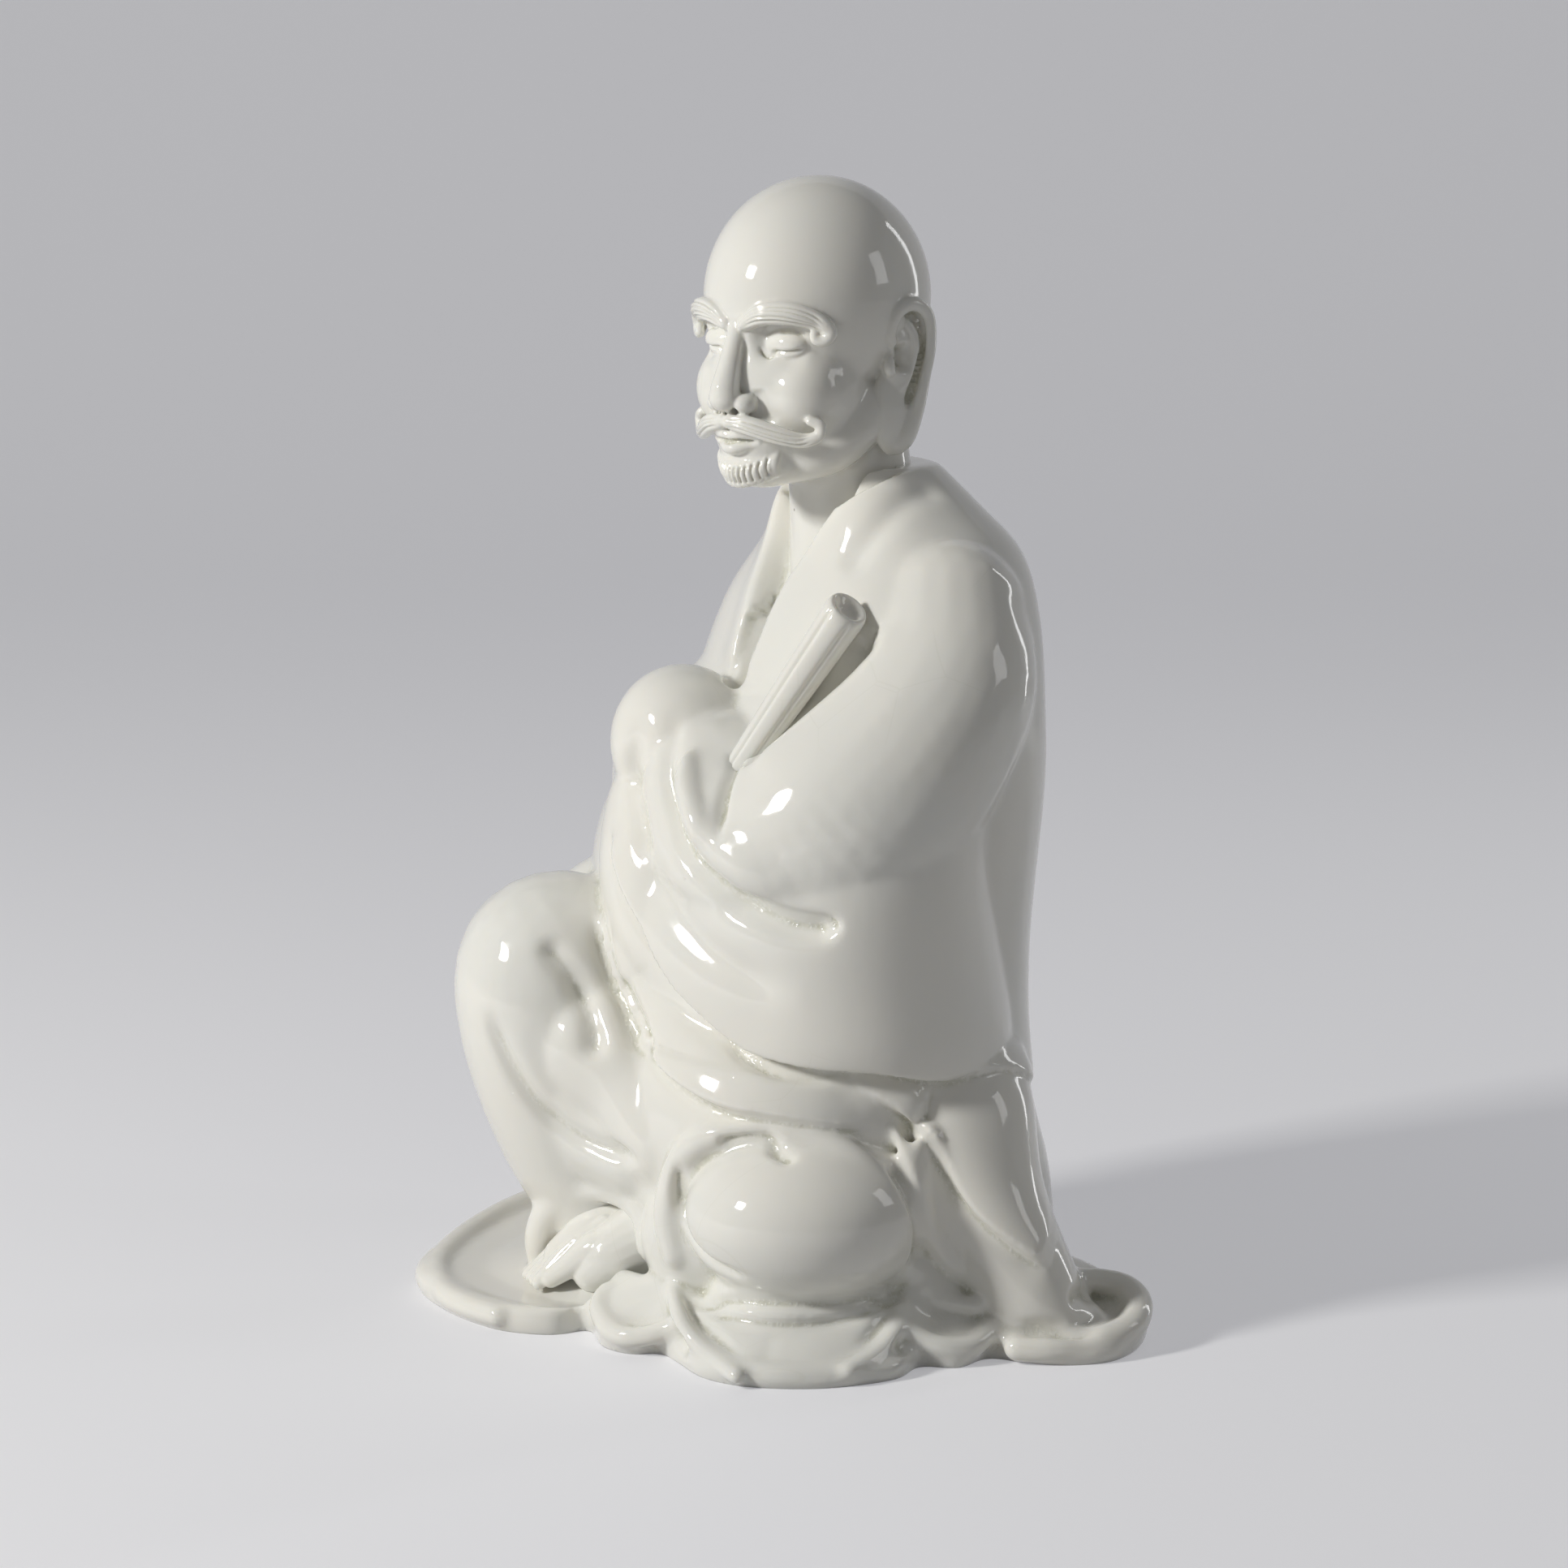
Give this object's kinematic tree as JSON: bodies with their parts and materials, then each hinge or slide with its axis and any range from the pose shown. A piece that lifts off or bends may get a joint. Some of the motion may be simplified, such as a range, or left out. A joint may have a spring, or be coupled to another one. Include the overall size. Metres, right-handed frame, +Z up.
{
  "type": "bodhidharma figure",
  "caption": "Seated bald monk in a long draped robe, with a raised knee, long ear lobes and a scroll in the crook of the arm; white glazed porcelain, hollow and open underneath.",
  "frame": {"origin": "centre of the footprint, on the ground the figure stands on", "axes": "+Z up, -Y the way the knees point, +X the figure's own left"},
  "size_m": [0.1186, 0.112, 0.1999],
  "materials": {
    "glaze": "gloss"
  },
  "bodies": {
    "root": {"figure": "glaze"}
  },
  "joints": []
}
